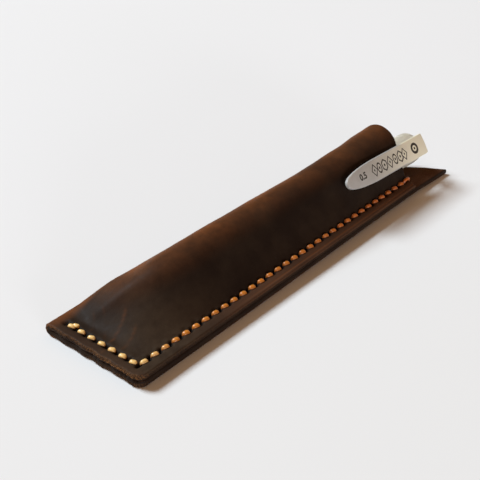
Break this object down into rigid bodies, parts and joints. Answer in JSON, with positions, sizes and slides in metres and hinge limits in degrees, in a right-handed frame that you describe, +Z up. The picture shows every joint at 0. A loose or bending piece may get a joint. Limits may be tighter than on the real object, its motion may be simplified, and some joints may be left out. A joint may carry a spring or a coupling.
{
  "type": "leather pen sleeve",
  "caption": "Folded leather sleeve for one pen, saddle-stitched along foot and long edge, with a slanted tongue past the mouth and a capped gel pen clipped in it.",
  "frame": {"origin": "centre of the bounding box's underside, on the table", "axes": "+X along the sleeve from the stitched foot to the mouth, +Y from the stitched long edge to the fold, +Z up from the table"},
  "size_m": [0.1555, 0.0376, 0.0209],
  "materials": {
    "waxed_leather": "waxed pull-up leather, dark brown, rough cut edges",
    "waxed_thread": "waxed round thread, golden tan",
    "frosted_plastic": "frosted translucent polypropylene",
    "seal_elastomer": "soft matte",
    "black_plastic": "moulded",
    "grip_rubber": "matte",
    "tube_plastic": "clear extruded",
    "gel_ink": "black gel",
    "follower_grease": "pale grease",
    "nickel_silver": "turned",
    "carbide": "polished"
  },
  "bodies": {
    "sleeve": {"leather_body": "waxed_leather", "seam_thread": "waxed_thread"},
    "pen": {"pen_barrel": "frosted_plastic", "rear_plug": "black_plastic", "grip_sleeve": "grip_rubber", "nose_cone": "frosted_plastic", "refill_tube": "tube_plastic", "ink_column": "gel_ink", "ink_follower": "follower_grease", "tip_socket": "tube_plastic", "metal_tip": "nickel_silver", "tip_ball": "carbide"},
    "cap": {"pen_cap": "frosted_plastic", "cap_seal": "seal_elastomer"},
    "clip": {"cap_clip": "frosted_plastic"}
  },
  "joints": [
    {"name": "pen_draw", "type": "slide", "parent": "sleeve", "child": "pen", "axis": [0.9976, -0.0698, 0], "range_m": [0, 0.118]},
    {"name": "cap_pull", "type": "slide", "parent": "pen", "child": "cap", "axis": [0.9976, -0.0698, 0], "range_m": [0, 0.06]},
    {"name": "clip_flex", "type": "hinge", "parent": "cap", "child": "clip", "pos_m": [0.06992, -0.00923, 0.0114], "axis": [0.04, 0.5722, 0.8192], "range_deg": [0, 6], "stiffness_Nm_per_rad": 0.5}
  ]
}
